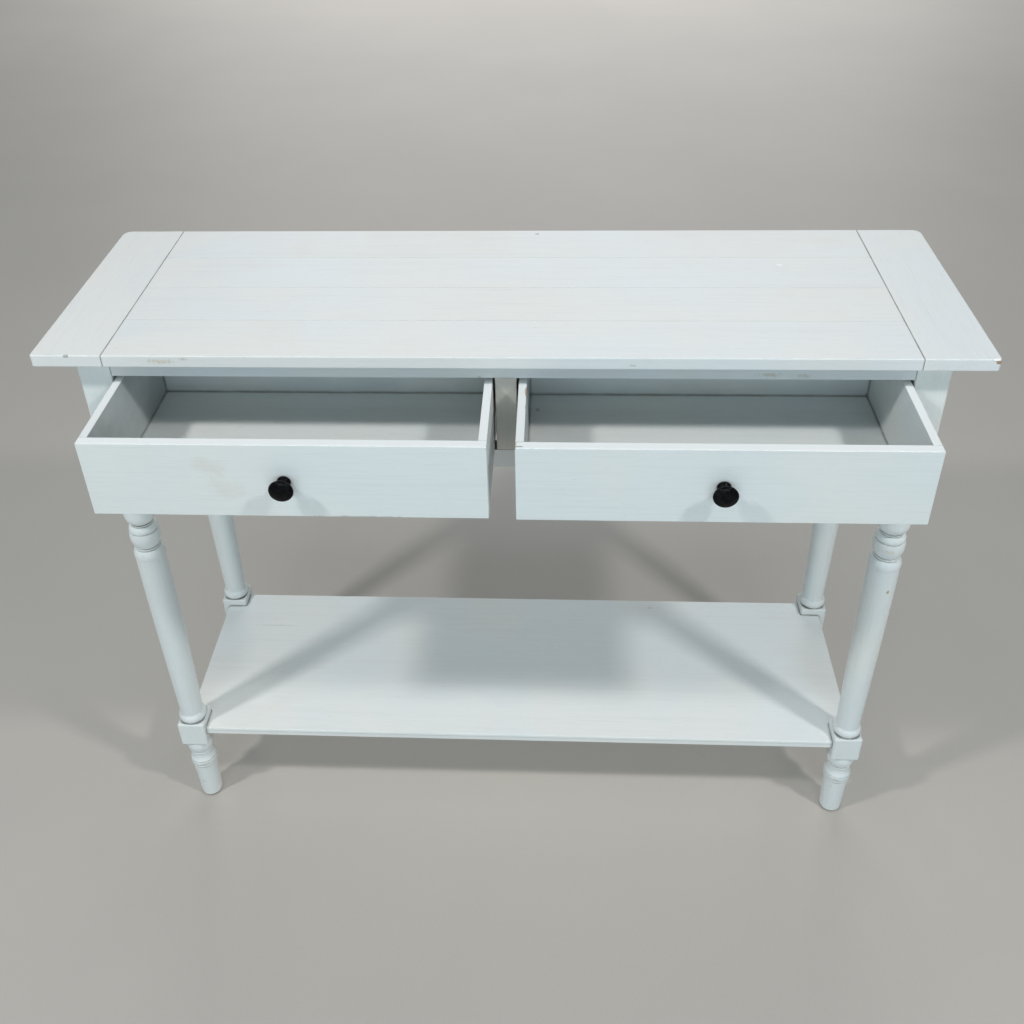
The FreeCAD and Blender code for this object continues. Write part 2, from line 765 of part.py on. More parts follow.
def make_side_apron(side):
    """A panel between the upper blocks of one side; built along Y, tenoned at both ends."""
    corner = "-apron_side_x - apron_thickness" if side == "left" else "apron_side_x"
    body = new_body("side_apron_" + side, (corner, "block_front_y + leg_square", "sill_under"))
    height = "top_under - sill_under"
    base = add_board(body, ("apron_thickness", "span_between_blocks", height))
    ease_all(body, base)
    for end, start in (("front", "-tenon_length"), ("rear", "span_between_blocks")):
        glue_box(body, "%s_tenon_%s" % (body.Name, end),
                 ("(apron_thickness - tenon_thickness) / 2", start, "tenon_shoulder"),
                 ("tenon_thickness", "tenon_length", height + " - 2 * tenon_shoulder"))
    return body


def make_rear_apron():
    body = new_body("rear_apron", ("-block_inner_x", "apron_rear_y", "sill_under"))
    height = "top_under - sill_under"
    base = add_board(body, ("2 * block_inner_x", "apron_thickness", height))
    ease_all(body, base)
    add_tenons(body, "2 * block_inner_x", "apron_thickness", "(%s)" % height)
    return body


# ---- drawer guides and runners ---------------------------------------------------------------

RUNNER_MIDDLE = "(drawer_z + drawer_height - runner_below_top)"


def make_guide(name, x, y, width, length):
    body = new_body(name, (x, y, RUNNER_MIDDLE + " - guide_height / 2"))
    base = add_board(body, (width, length, "guide_height"))
    ease_all(body, base)
    return body


def make_runner(name, x):
    """A hardwood strip that the groove in a drawer's side slides on."""
    body = new_body(name, (x, "block_front_y + runner_setback",
                           RUNNER_MIDDLE + " - runner_height / 2"))
    length = "apron_rear_y - block_front_y - runner_setback - runner_end_gap"
    base = add_board(body, ("runner_reach", length, "runner_height"))
    ease_all(body, base)
    return body


# ---- shelf -----------------------------------------------------------------------------------

SHELF_DOWEL_DEPTH = "(dowel_length / 2)"


def make_shelf():
    """One board notched round the inner corners of the four lower blocks."""
    body = new_body("shelf", ("-block_outer_x + shelf_side_setback",
                              "block_front_y + shelf_front_setback",
                              "shelf_top - shelf_thickness"))
    length = "(2 * block_outer_x - 2 * shelf_side_setback)"
    depth = ("(rear_block_y + leg_square - shelf_rear_setback"
             " - block_front_y - shelf_front_setback)")
    pad = add_board(body, (length, depth, "shelf_thickness"))
    DOC.recompute()
    rims = edge_names(pad, lambda box: near(box.ZMin, box.ZMax))
    dress(body, "Fillet", pad, rims, "rim", "shelf_ease")
    notch_x = "(leg_square - shelf_side_setback + shelf_notch_gap)"
    front = "(leg_square - shelf_front_setback + shelf_notch_gap)"
    rear = "(leg_square - shelf_rear_setback + shelf_notch_gap)"
    for place, x, y, notch_y in (
            ("front_left", "0", "0", front),
            ("front_right", length + " - " + notch_x, "0", front),
            ("rear_left", "0", depth + " - " + rear, rear),
            ("rear_right", length + " - " + notch_x, depth + " - " + rear, rear)):
        cut_box(body, "shelf_notch_" + place, (x, y, "0"),
                (notch_x, notch_y, "shelf_thickness"))
    for place, x, y in (
            ("front_left", notch_x, "leg_square / 2 - shelf_front_setback"),
            ("front_right", length + " - " + notch_x + " - " + SHELF_DOWEL_DEPTH,
             "leg_square / 2 - shelf_front_setback"),
            ("rear_left", notch_x, depth + " + shelf_rear_setback - leg_square / 2"),
            ("rear_right", length + " - " + notch_x + " - " + SHELF_DOWEL_DEPTH,
             depth + " + shelf_rear_setback - leg_square / 2")):
        drill(body, "shelf_dowel_hole_" + place, (x, y, "shelf_thickness / 2"),
              "dowel_radius + dowel_clearance", SHELF_DOWEL_DEPTH, ALONG_X)
    return body


def make_shelf_dowels():
    dowels = []
    for place, (_, y) in LEG_PLACES.items():
        middle = "-block_inner_x" if "left" in place else "block_inner_x"
        dowels.append(make_cylinder("shelf_dowel_" + place,
                                    (middle + " - dowel_length / 2", y,
                                     "shelf_top - shelf_thickness / 2"),
                                    "dowel_radius", "dowel_length", ALONG_X))
    return make_group("shelf_dowels", dowels)


# ---- drawers ---------------------------------------------------------------------------------

def make_drawer(side):
    """A drawer box with its knob; the cells' pull says how far it stands out."""
    sign = "-" if side == "left" else ""
    left_x = "%s(divider_width / 2 + opening_width / 2) - drawer_width / 2" % sign
    front_y = "block_front_y - %s_pull" % side
    name = side + "_drawer"

    front = new_body(name + "_front", (left_x, front_y, "drawer_z"))
    ease_all(front, add_board(front, ("drawer_width", "front_thickness", "drawer_height")))
    cut_box(front, front.Name + "_groove",
            ("side_thickness - bottom_groove_depth", "front_thickness - bottom_groove_depth",
             "bottom_groove_height"),
            ("drawer_width - 2 * side_thickness + 2 * bottom_groove_depth",
             "bottom_groove_depth", "bottom_thickness"))
    drill(front, front.Name + "_screw_hole", ("drawer_width / 2", "0", "drawer_height / 2"),
          "screw_radius + screw_clearance", "front_thickness", ALONG_Y)

    side_length = "(drawer_length - front_thickness)"
    sides = []
    for end, x in (("left", left_x), ("right", left_x + " + drawer_width - side_thickness")):
        panel = new_body("%s_side_%s" % (name, end),
                         (x, front_y + " + front_thickness", "drawer_z"))
        ease_all(panel, add_board(panel, ("side_thickness", side_length, "drawer_height")))
        inner = "side_thickness - bottom_groove_depth" if end == "left" else "0"
        cut_box(panel, panel.Name + "_bottom_groove", (inner, "0", "bottom_groove_height"),
                ("bottom_groove_depth", side_length, "bottom_thickness"))
        outer = "0" if end == "left" else "side_thickness - groove_depth"
        cut_box(panel, panel.Name + "_runner_groove",
                (outer, "groove_stop - front_thickness",
                 "drawer_height - runner_below_top - runner_height / 2 - groove_clearance"),
                ("groove_depth", "drawer_length - groove_stop",
                 "runner_height + 2 * groove_clearance"))
        sides.append(panel)

    back = new_body(name + "_back", (left_x + " + side_thickness",
                                     front_y + " + drawer_length - side_thickness",
                                     "drawer_z"))
    ease_all(back, add_board(back, ("drawer_width - 2 * side_thickness", "side_thickness",
                                    "drawer_height")))
    cut_box(back, back.Name + "_groove", ("0", "0", "bottom_groove_height"),
            ("drawer_width - 2 * side_thickness", "bottom_groove_depth", "bottom_thickness"))

    margin = "(bottom_groove_depth - bottom_clearance)"
    bottom = new_body(name + "_bottom",
                      (left_x + " + side_thickness - " + margin,
                       front_y + " + front_thickness - " + margin,
                       "drawer_z + bottom_groove_height"))
    add_board(bottom, ("drawer_width - 2 * side_thickness + 2 * " + margin,
                       "drawer_length - front_thickness - side_thickness + 2 * " + margin,
                       "bottom_thickness"))

    middle = (left_x + " + drawer_width / 2", front_y, "drawer_z + drawer_height / 2")
    knob = new_body(side + "_knob", middle, HALF_TURN)
    turn_profile(knob, knob.Name + "_turning", "XY_Plane", KNOB_OUTLINE)
    drill(knob, knob.Name + "_screw_hole", ("0", "0", "0"),
          "screw_radius + screw_clearance", "knob_screw_reach", ALONG_Y)
    screw = make_knob_screw(side, middle)
    return [front] + sides + [back, bottom, knob, screw]


def make_knob_screw(side, middle):
    """The machine screw that holds the knob, its round head inside the drawer."""
    x, y, z = middle
    head = make_cylinder(side + "_knob_screw_head", (x, y + " + front_thickness", z),
                         "screw_head_radius", "screw_head_height", ALONG_Y)
    shank = make_cylinder(side + "_knob_screw_shank",
                          (x, y + " - knob_screw_reach + screw_clearance", z), "screw_radius",
                          "front_thickness + knob_screw_reach - screw_clearance"
                          " + screw_head_height", ALONG_Y)
    screw = DOC.addObject("Part::MultiFuse", side + "_knob_screw")
    screw.Label = side + "_knob_screw"
    screw.Shapes = [shank, head]
    return screw


# ---- assembly --------------------------------------------------------------------------------

def make_table():
    nodes = [make_top_board(number) for number in range(1, int(value("field_boards")) + 1)]
    nodes += [make_breadboard(side) for side in ("left", "right")]
    nodes += [make_cleat(side) for side in ("left", "right")]
    nodes.append(make_top_screws())
    nodes += [make_leg(place) for place in LEG_PLACES]
    nodes.append(make_glides())
    nodes += [make_front_rail(*rail) for rail in FRONT_RAILS]
    nodes.append(make_divider())
    nodes += [make_side_apron(side) for side in ("left", "right")]
    nodes.append(make_rear_apron())
    guide_y, guide_width = "block_front_y + leg_square", "apron_side_x - block_inner_x"
    nodes.append(make_guide("side_guide_left", "-apron_side_x", guide_y, guide_width,
                            "span_between_blocks"))
    nodes.append(make_guide("side_guide_right", "block_inner_x", guide_y, guide_width,
                            "span_between_blocks"))
    nodes.append(make_guide("centre_guide", "-divider_width / 2",
                            "block_front_y + rail_thickness", "divider_width",
                            "apron_rear_y - block_front_y - rail_thickness"))
    nodes.append(make_runner("runner_left_outer", "-block_inner_x"))
    nodes.append(make_runner("runner_left_inner", "-divider_width / 2 - runner_reach"))
    nodes.append(make_runner("runner_right_inner", "divider_width / 2"))
    nodes.append(make_runner("runner_right_outer", "block_inner_x - runner_reach"))
    nodes.append(make_shelf())
    nodes.append(make_shelf_dowels())
    for side in ("left", "right"):
        nodes += make_drawer(side)
    return nodes


def check_and_export(nodes):
    DOC.recompute()
    for item in DOC.Objects:
        if "Invalid" in item.State or "Error" in item.State:
            raise RuntimeError("%s did not compute: %s" % (item.Name, item.State))
    os.makedirs("parts", exist_ok=True)
    for node in nodes:
        shape = node.Shape
        if shape.isNull() or not shape.isValid() or not shape.Solids:
            raise RuntimeError("%s has no valid solid" % node.Label)
        shape.exportStep("parts/%s.step" % node.Label)
        print("%-28s %d solid(s) %10.0f mm3" % (node.Label, len(shape.Solids), shape.Volume))


write_dimensions()
check_and_export(make_table())
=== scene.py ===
import math
from collections import namedtuple

import bpy
from mathutils import Matrix, Vector


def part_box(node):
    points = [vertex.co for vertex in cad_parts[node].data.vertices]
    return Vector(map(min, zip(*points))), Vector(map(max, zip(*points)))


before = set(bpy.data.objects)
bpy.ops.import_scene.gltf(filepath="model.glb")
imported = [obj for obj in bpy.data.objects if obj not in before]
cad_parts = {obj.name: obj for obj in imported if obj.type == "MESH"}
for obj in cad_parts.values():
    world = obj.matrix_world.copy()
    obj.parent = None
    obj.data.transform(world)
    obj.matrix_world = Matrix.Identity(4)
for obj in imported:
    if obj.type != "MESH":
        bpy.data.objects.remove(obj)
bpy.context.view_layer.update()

# ---- places taken from the frame -------------------------------------------------------------

TOP_LOW, TOP_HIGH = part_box("breadboard_left")
TOP_UP = TOP_HIGH.z
TOP_FRONT = TOP_LOW.y
LEFT_FRONT_LOW, LEFT_FRONT_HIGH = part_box("left_drawer_front")
RIGHT_FRONT_LOW, RIGHT_FRONT_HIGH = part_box("right_drawer_front")
RIGHT_SIDE_LOW, RIGHT_SIDE_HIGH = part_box("right_drawer_side_left")
RAIL_LOW, RAIL_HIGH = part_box("front_top_rail")
SHELF_LOW, SHELF_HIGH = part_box("shelf")
CORNER_LEG_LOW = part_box("leg_front_right")[0]


# ---- node graphs -----------------------------------------------------------------------------

# the Mix node's colour sockets share their names with its number sockets, so they go by index
MIX_FACTOR, MIX_FIRST, MIX_SECOND, MIX_RESULT = 0, 6, 7, 2
EDGE_TURN = (0.985, 0.80)      # cosine of the turn where an edge starts and where it is full
OPEN_SKY = (0.93, 0.50)        # share of sky seen where a crevice starts and where it is full
BEVEL_SAMPLES = 6
SKY_SAMPLES = 8


class Graph:
    """A material's node tree, with short ways to add and join nodes."""

    def __init__(self, name):
        self.material = bpy.data.materials.new(name)
        self.material.use_nodes = True
        self.tree = self.material.node_tree
        self.shader = self.tree.nodes["Principled BSDF"]
        self.place = self.tree.nodes.new("ShaderNodeTexCoord").outputs["Object"]

    def add(self, kind, values=None, **settings):
        node = self.tree.nodes.new("ShaderNode" + kind)
        for key, setting in settings.items():
            setattr(node, key, setting)
        for key, given in (values or {}).items():
            self.put(node.inputs[key], given)
        return node

    def put(self, socket, given):
        if isinstance(given, bpy.types.NodeSocket):
            self.tree.links.new(given, socket)
        elif isinstance(given, tuple) and len(given) == 3 and len(socket.default_value) == 4:
            socket.default_value = (*given, 1.0)
        else:
            socket.default_value = given

    def math(self, operation, *given, clamp=False):
        node = self.add("Math", operation=operation, use_clamp=clamp)
        for socket, number in zip(node.inputs, given):
            self.put(socket, number)
        return node.outputs[0]

    def noise(self, scale, shift=(0.0, 0.0, 0.0), detail=2.0, rough=0.5, distortion=0.0):
        """Noise with its own scale along each axis, in features per metre."""
        spread = self.add("Mapping", {"Vector": self.place, "Scale": scale, "Location": shift})
        return self.add("TexNoise", {"Vector": spread.outputs[0], "Scale": 1.0, "Detail": detail,
                                     "Roughness": rough, "Distortion": distortion}).outputs[0]

    def steps(self, factor, low, high, bottom=0.0, top=1.0):
        """factor from low to high, turned smoothly into bottom to top."""
        node = self.add("MapRange", {"Value": factor, "From Min": low, "From Max": high,
                                     "To Min": bottom, "To Max": top},
                        interpolation_type="SMOOTHSTEP")
        return node.outputs[0]

    def mix(self, factor, first, second):
        node = self.add("Mix", data_type="RGBA")
        for index, given in ((MIX_FACTOR, factor), (MIX_FIRST, first), (MIX_SECOND, second)):
            self.put(node.inputs[index], given)
        return node.outputs[MIX_RESULT]

    def spot(self, centre, radii, ragged, scale, core):
        """A mask, 0 away from a place and 1 within core of its radii; the border is ragged."""
        inverse = tuple(1.0 / radius for radius in radii)
        shift = tuple(-c / radius for c, radius in zip(centre, radii))
        away = self.add("Mapping", {"Vector": self.place, "Scale": inverse, "Location": shift})
        length = self.add("VectorMath", {0: away.outputs[0]}, operation="LENGTH")
        wobble = self.math("MULTIPLY", self.math("SUBTRACT", self.noise((scale,) * 3), 0.5),
                           ragged * 2.0)
        return self.steps(self.math("ADD", length.outputs["Value"], wobble), 1.0, core)

    def finish(self, colour, roughness, bumps, specular=0.5):
        """Join everything to the shader; bumps are (height, distance in metres, strength)."""
        self.put(self.shader.inputs["Base Color"], colour)
        self.put(self.shader.inputs["Roughness"], roughness)
        self.put(self.shader.inputs["Specular IOR Level"], specular)
        normal = None
        for height, distance, strength in bumps:
            bump = self.add("Bump", {"Height": height, "Distance": distance,
                                     "Strength": strength})
            if normal:
                self.put(bump.inputs["Normal"], normal)
            normal = bump.outputs[0]
        if normal:
            self.put(self.shader.inputs["Normal"], normal)
        return self.material


def along(axis, length_scale, width_scale):
    """Features drawn out along one axis: few per metre along it and many across it."""
    return tuple(length_scale if name == axis else width_scale for name in "xyz")


def edge_mask(graph, width):
    """1 on an edge that stands out, 0 on flats, from how far a rounding turns the surface."""
    rounded = graph.add("Bevel", {"Radius": width}, samples=BEVEL_SAMPLES).outputs[0]
    flat = graph.add("NewGeometry").outputs["Normal"]
    turn = graph.add("VectorMath", {0: rounded, 1: flat}, operation="DOT_PRODUCT")
    return graph.steps(turn.outputs["Value"], *EDGE_TURN)


def crevice_mask(graph, reach):
    """1 in a groove or joint, where ambient occlusion finds shade; 0 on open surfaces."""
    sky = graph.add("AmbientOcclusion", {"Distance": reach}, samples=SKY_SAMPLES).outputs["AO"]
    return graph.steps(sky, *OPEN_SKY)


# ---- painted wood ----------------------------------------------------------------------------

# dirt colour, also used as painted shade in crevices
DIRT_AND_SHADE = (0.15, 0.13, 0.10)
BROWN = (0.42, 0.29, 0.16)
BARE = (0.46, 0.33, 0.20)
# colour of painted highlights, on edges and on faces that look up
HIGHLIGHT_PALE = (0.93, 0.95, 0.955)
YELLOWED = (0.66, 0.60, 0.47)
# colour of the painted shade inside the drawers
INSIDE_SHADE_GREY = (0.30, 0.33, 0.34)

# features per metre along the board and across it
GRAIN = (7.0, 330.0)
FIBRE = (34.0, 900.0)
STREAKS = (2.2, 70.0)
PORES = (90.0, 1500.0)

EDGE_WIDTH = 0.0016            # metres on each side of an edge taken by the painted highlight and the wear
EDGE_HIGHLIGHT = 0.55               # how strongly the painted highlight lightens an edge
EDGE_THROUGH = 0.75            # how far bare wood shows where it is worn through
CREVICE_REACH = 0.005             # metres that the crevice darkening, dirt and painted shade, reaches out of a joint
# how dark crevices get: dirt and painted shade
CREVICE_DARKENING = 0.72
STAIN_LIMIT = 0.5              # a mark at or under this strength is a stain with a soft border
STAIN_CORE = 0.1
CHIP_LIMIT = 0.8               # a mark over this strength is a chip, with a small step
CHIP_CORE = 0.75
CHIP_STEP = 0.0006


def seam_mask(graph, seams):
    """1 along joint lines; each is (axis, places along it, half width, strength)."""
    place = graph.add("SeparateXYZ", {0: graph.place})
    total = 0.0
    for axis, places, width, strength in seams:
        for line in places:
            away = graph.math("ABSOLUTE", graph.math("SUBTRACT", place.outputs[axis], line))
            total = graph.math("MAXIMUM", total,
                               graph.steps(away, width, width * 0.5, 0.0, strength))
    return total


def paint(name, axis, colour, seed, marks=(), dirt_and_crevice_shade=0.0, inside_shade=0.0, rim=0.0, seams=()):
    """Brushed satin paint over wood: grain along the board, wear and a painted highlight on
    edges, dirt and painted shade in joints.

    marks are Mark tuples. dirty is how much more dirt, yellowing and painted crevice shade there
    is than usual, inside is how much painted shade greys the panel, rim is how much painted light
    makes the faces that look up paler, and seams are joint lines.
    """
    graph = Graph(name)
    shift = (seed * 1.37, seed * 2.11, seed * 0.73)     # so that no two boards look the same
    grain = graph.noise(along(axis, *GRAIN), shift, detail=4.0, rough=0.6, distortion=0.3)
    fibre = graph.noise(along(axis, *FIBRE), shift, detail=3.0, rough=0.65)
    streaks = graph.noise(along(axis, *STREAKS), shift, detail=3.0, rough=0.55)
    clouds = graph.noise((5.0, 5.0, 5.0), shift, detail=3.0, rough=0.5)
    darker = tuple(c * 0.925 for c in colour)
    darkest = tuple(c * 0.90 for c in colour)
    cooler = (colour[0] * 0.965, colour[1] * 0.995, colour[2])
    warmer = (min(1.0, colour[0] * 1.01), colour[1], colour[2] * 0.965)
    shade = graph.mix(graph.steps(clouds, 0.35, 0.65), cooler, warmer)
    shade = graph.mix(graph.steps(grain, 0.50, 0.72, 0.0, 0.55), shade, darker)
    shade = graph.mix(graph.steps(fibre, 0.48, 0.75, 0.0, 0.45), shade, darkest)
    shade = graph.mix(graph.steps(streaks, 0.56, 0.70, 0.0, 0.35), shade, darker)
    # fine pores that dirt has filled, few and short
    pores = graph.noise(along(axis, *PORES), shift, detail=1.0)
    shade = graph.mix(graph.steps(pores, 0.74, 0.80, 0.0, 0.35), shade, DIRT_AND_SHADE)
    # yellowing in broad soft patches
    aged = graph.noise((9.0, 9.0, 9.0), (seed * 0.9 + 4.0, seed, seed), detail=4.0, rough=0.6)
    shade = graph.mix(graph.steps(aged, 0.60, 0.78, 0.0, 0.12 + dirt_and_crevice_shade * 0.3), shade, YELLOWED)
    # edges: a painted highlight along every edge, with a few places worn through to the wood
    edge = edge_mask(graph, EDGE_WIDTH)
    shade = graph.mix(graph.math("MULTIPLY", edge, EDGE_HIGHLIGHT), shade, HIGHLIGHT_PALE)
    rubbed = graph.steps(graph.noise((60.0, 60.0, 60.0), shift, detail=5.0, rough=0.7),
                         0.635, 0.68)
    worn = graph.math("MULTIPLY", edge, rubbed)
    shade = graph.mix(graph.math("MULTIPLY", worn, EDGE_THROUGH), shade, BARE)
    # dirt and painted shade in grooves and joints, darkest where ambient occlusion finds shade
    groove = crevice_mask(graph, CREVICE_REACH)
    patchy = graph.steps(graph.noise((45.0, 45.0, 45.0), shift, detail=3.0), 0.30, 0.62, 0.6, 1.0)
    crevice_dirt_and_shade = graph.math("MULTIPLY", graph.math("MULTIPLY", groove, patchy),
                       CREVICE_DARKENING + dirt_and_crevice_shade * 0.2, clamp=True)
    shade = graph.mix(crevice_dirt_and_shade, shade, DIRT_AND_SHADE)
    if seams:
        shade = graph.mix(graph.math("MULTIPLY", seam_mask(graph, seams), patchy), shade, DIRT_AND_SHADE)
    # painted shade: greys the drawer insides in patches, standing in for the shade inside them
    if inside_shade:
        inside_shade_noise = graph.noise((14.0, 14.0, 14.0), shift, detail=3.0)
        shade = graph.mix(graph.steps(inside_shade_noise, 0.3, 0.7, inside_shade * 0.8, inside_shade * 1.2), shade,
                          INSIDE_SHADE_GREY)
    # painted light: faces that look up are made paler, standing in for light falling on them
    if rim:
        facing = graph.add("SeparateXYZ", {0: graph.add("NewGeometry").outputs["Normal"]})
        up_face = graph.steps(facing.outputs["Z"], 0.6, 0.95, 0.0, rim)
        shade = graph.mix(up_face, shade, HIGHLIGHT_PALE)
    heights = []
    for mark in marks:
        core = CHIP_CORE if mark.strength > STAIN_LIMIT else STAIN_CORE
        mask = graph.spot(mark.centre, mark.radii, mark.ragged, mark.scale, core)
        shade = graph.mix(graph.math("MULTIPLY", mask, mark.strength), shade, mark.tint)
        if mark.strength > CHIP_LIMIT:
            heights.append((graph.math("SUBTRACT", 1.0, mask), CHIP_STEP, 0.7))
    roughness = graph.math("ADD", graph.steps(clouds, 0.3, 0.7, 0.40, 0.48),
                           graph.math("MULTIPLY", graph.math("ADD", fibre, crevice_dirt_and_shade), 0.14))
    return graph.finish(shade, roughness, [
        (grain, 0.00025, 0.35), (fibre, 0.00012, 0.45), (streaks, 0.0005, 0.18)] + heights,
        specular=0.42)


# ---- other materials -------------------------------------------------------------------------

PINE = (0.62, 0.44, 0.25)
LATE_WOOD = (0.47, 0.30, 0.15)
PINE_PORES = (0.34, 0.21, 0.10)
PINE_GREYED = (0.40, 0.33, 0.24)
PINE_EDGE = (0.72, 0.56, 0.36)
BLACK = (0.003, 0.003, 0.0033)
BLACK_SMUDGED = (0.008, 0.008, 0.0085)
DUST = (0.10, 0.10, 0.10)
RUBBED_RIM = (0.07, 0.065, 0.06)
GROOVE_DUST = (0.05, 0.045, 0.04)
ZINC = (0.46, 0.46, 0.44)
ZINC_SPANGLE = (0.60, 0.60, 0.58)
ZINC_EDGE = (0.75, 0.75, 0.73)
RUST = (0.20, 0.10, 0.05)
NYLON = (0.020, 0.019, 0.018)
NYLON_CLOUD = (0.035, 0.033, 0.031)
NYLON_SCUFF = (0.12, 0.11, 0.10)
NYLON_EDGE = (0.16, 0.15, 0.14)
FLOOR = (0.505, 0.472, 0.435)
FLOOR_CLOUD = (0.535, 0.50, 0.46)
FLOOR_FLECK = (0.47, 0.44, 0.40)


def bare_wood(name, axis, seed):
    """Unpainted pine: yellow-brown bands, darker late wood, open pores and worn edges."""
    graph = Graph(name)
    shift = (seed * 1.7, seed * 0.9, seed * 1.3)
    bands = graph.noise(along(axis, 3.0, 95.0), shift, detail=3.0, rough=0.55, distortion=0.6)
    fibre = graph.noise(along(axis, 26.0, 800.0), shift, detail=4.0, rough=0.7)
    clouds = graph.noise((12.0, 12.0, 12.0), shift)
    shade = graph.mix(graph.steps(bands, 0.40, 0.62), PINE, LATE_WOOD)
    shade = graph.mix(graph.steps(fibre, 0.45, 0.75, 0.0, 0.5), shade, PINE_PORES)
    shade = graph.mix(graph.steps(clouds, 0.4, 0.7, 0.0, 0.3), shade, PINE_GREYED)
    shade = graph.mix(graph.math("MULTIPLY", edge_mask(graph, 0.001), 0.3), shade, PINE_EDGE)
    # dirt and painted shade in crevices, darkest where ambient occlusion finds shade
    shade = graph.mix(graph.math("MULTIPLY", crevice_mask(graph, 0.004), 0.5), shade, DIRT_AND_SHADE)
    roughness = graph.steps(fibre, 0.3, 0.7, 0.55, 0.75)
    return graph.finish(shade, roughness, [(bands, 0.0003, 0.3), (fibre, 0.00015, 0.5)])


def lacquer(name, seed):
    """Black gloss on turned metal: smudges, specks of dust, dust in the groove, rubbed rim."""
    graph = Graph(name)
    shift = (seed * 2.3, seed, seed * 1.1)
    smudge = graph.noise((160.0, 160.0, 160.0), shift, detail=4.0, rough=0.6)
    specks = graph.noise((2200.0, 2200.0, 2200.0), shift, detail=2.0)
    shade = graph.mix(graph.steps(smudge, 0.4, 0.7), BLACK, BLACK_SMUDGED)
    shade = graph.mix(graph.steps(specks, 0.70, 0.76, 0.0, 0.25), shade, DUST)
    shade = graph.mix(graph.math("MULTIPLY", edge_mask(graph, 0.0007), 0.25), shade, RUBBED_RIM)
    shade = graph.mix(graph.math("MULTIPLY", crevice_mask(graph, 0.002), 0.3), shade,
                      GROOVE_DUST)
    roughness = graph.steps(smudge, 0.3, 0.7, 0.13, 0.26)
    return graph.finish(shade, roughness, [(smudge, 0.0001, 0.12), (specks, 0.00002, 0.25)],
                        specular=0.08)


def steel(name, seed):
    """Zinc-plated steel, dulled and scratched, with rust starting in patches."""
    graph = Graph(name)
    shift = (seed, seed * 1.9, seed * 0.4)
    spangle = graph.noise((700.0, 700.0, 700.0), shift, detail=3.0, rough=0.6)
    scratches = graph.noise((3000.0, 260.0, 3000.0), shift, detail=2.0)
    rust = graph.steps(graph.noise((350.0, 350.0, 350.0), shift, detail=4.0, rough=0.65),
                       0.60, 0.70, 0.0, 0.6)
    shade = graph.mix(graph.steps(spangle, 0.35, 0.65), ZINC, ZINC_SPANGLE)
    shade = graph.mix(graph.math("MULTIPLY", edge_mask(graph, 0.0004), 0.4), shade, ZINC_EDGE)
    shade = graph.mix(rust, shade, RUST)
    roughness = graph.math("ADD", graph.steps(scratches, 0.3, 0.7, 0.26, 0.42),
                           graph.math("MULTIPLY", rust, 0.4))
    graph.put(graph.shader.inputs["Metallic"], graph.math("SUBTRACT", 1.0, rust))
    return graph.finish(shade, roughness, [(spangle, 0.00004, 0.3), (scratches, 0.00003, 0.4)])


def hard_plastic(name, seed):
    """Dark nylon discs, scuffed by the floor."""
    graph = Graph(name)
    shift = (seed, seed, seed)
    scuffs = graph.noise((60.0, 900.0, 900.0), shift, detail=4.0, rough=0.6)
    cloud = graph.noise((80.0, 80.0, 80.0), shift, detail=3.0)
    shade = graph.mix(graph.steps(cloud, 0.35, 0.65), NYLON, NYLON_CLOUD)
    shade = graph.mix(graph.steps(scuffs, 0.58, 0.72, 0.0, 0.5), shade, NYLON_SCUFF)
    shade = graph.mix(graph.math("MULTIPLY", edge_mask(graph, 0.0005), 0.5), shade, NYLON_EDGE)
    roughness = graph.steps(scuffs, 0.3, 0.7, 0.42, 0.68)
    return graph.finish(shade, roughness, [(scuffs, 0.00006, 0.5), (cloud, 0.0002, 0.15)])


def studio_floor(name):
    """A plain pale floor, a little mottled."""
    graph = Graph(name)
    cloud = graph.noise((1.2, 1.2, 1.2), detail=4.0, rough=0.55)
    fine = graph.noise((260.0, 260.0, 260.0), detail=3.0, rough=0.6)
    shade = graph.mix(graph.steps(cloud, 0.3, 0.7), FLOOR, FLOOR_CLOUD)
    shade = graph.mix(graph.steps(fine, 0.5, 0.75, 0.0, 0.25), shade, FLOOR_FLECK)
    return graph.finish(shade, graph.steps(fine, 0.3, 0.7, 0.55, 0.68), [(fine, 0.0002, 0.25)])


# ---- marks of use, each at its place on the table --------------------------------------------

# radii are the half sizes of the mark along x, y and z in metres, strength is how much it
# covers, ragged is how far its border strays and scale is how fine the border is, per metre
Mark = namedtuple("Mark", "centre radii tint strength ragged scale")

RUST_BROWN = (0.50, 0.37, 0.20)
CHIP_WOOD = (0.38, 0.22, 0.11)
FILLER = (0.92, 0.93, 0.92)
RING_DIRT = (0.45, 0.36, 0.22)
RAIL_SCUFF = (0.46, 0.40, 0.30)
RAIL_SCUFF_GREY = (0.44, 0.39, 0.31)
YELLOW_STAIN = (0.62, 0.50, 0.30)
DARK_SCUFF = (0.36, 0.34, 0.32)
FOOT_SCUFF = (0.50, 0.47, 0.42)
CRACK_GREY = (0.40, 0.40, 0.38)
SHELF_SPECK = (0.45, 0.42, 0.36)
FRONT_STAIN = (0.60, 0.53, 0.42)
FRONT_STAIN_PALE = (0.62, 0.55, 0.44)
GREY_SPECK = (0.45, 0.45, 0.42)

